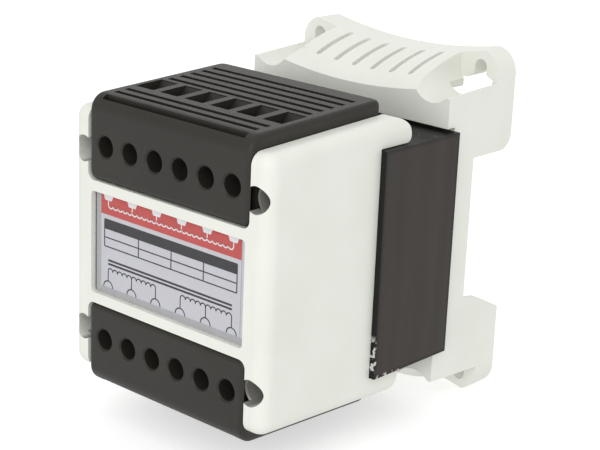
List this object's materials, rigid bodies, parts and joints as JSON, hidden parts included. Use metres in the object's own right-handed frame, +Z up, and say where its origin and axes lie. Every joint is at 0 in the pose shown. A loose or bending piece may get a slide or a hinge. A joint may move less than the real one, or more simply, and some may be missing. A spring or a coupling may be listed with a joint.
{
  "type": "mains transformer",
  "caption": "Mains transformer with laminated core, moulded housing, louvred touch-proof terminal covers and a hollow base that fixes to a rail or panel.",
  "frame": {"origin": "middle of the panel plane behind the base, at the centre of the four fixing slots", "axes": "+X to the right seen from the front, +Y into the panel, +Z up"},
  "size_m": [0.066, 0.0868, 0.0884],
  "materials": {
    "white_plastic": "fine moulded grain, off-white",
    "dark_plastic": "fine moulded grain, near black",
    "core_varnish": "black varnish over sheet edges",
    "former_plastic": "glass-filled, dark grey",
    "copper_wire": "enamelled copper",
    "coil_tape": "yellow polyester tape",
    "tinned_metal": "tinned brass strip",
    "plated_steel": "zinc plated",
    "label_print": "printed film, satin",
    "clear_plastic": "clear polycarbonate"
  },
  "bodies": {
    "root": {"mounting_base": "white_plastic", "front_housing": "white_plastic", "upper_terminal_cover": "dark_plastic", "lower_terminal_cover": "dark_plastic", "laminated_core": "core_varnish", "coil_former": "former_plastic", "upper_terminal_strip": "former_plastic", "lower_terminal_strip": "former_plastic", "primary_winding": "copper_wire", "secondary_winding": "copper_wire", "primary_leads": "copper_wire", "secondary_leads": "copper_wire", "primary_tape": "coil_tape", "secondary_tape": "coil_tape", "upper_solder_tags": "tinned_metal", "lower_solder_tags": "tinned_metal", "upper_wire_clamps": "plated_steel", "lower_wire_clamps": "plated_steel", "upper_clamp_screws": "plated_steel", "lower_clamp_screws": "plated_steel", "tie_screws": "plated_steel", "rating_label": "label_print", "label_window": "clear_plastic"}
  },
  "joints": []
}
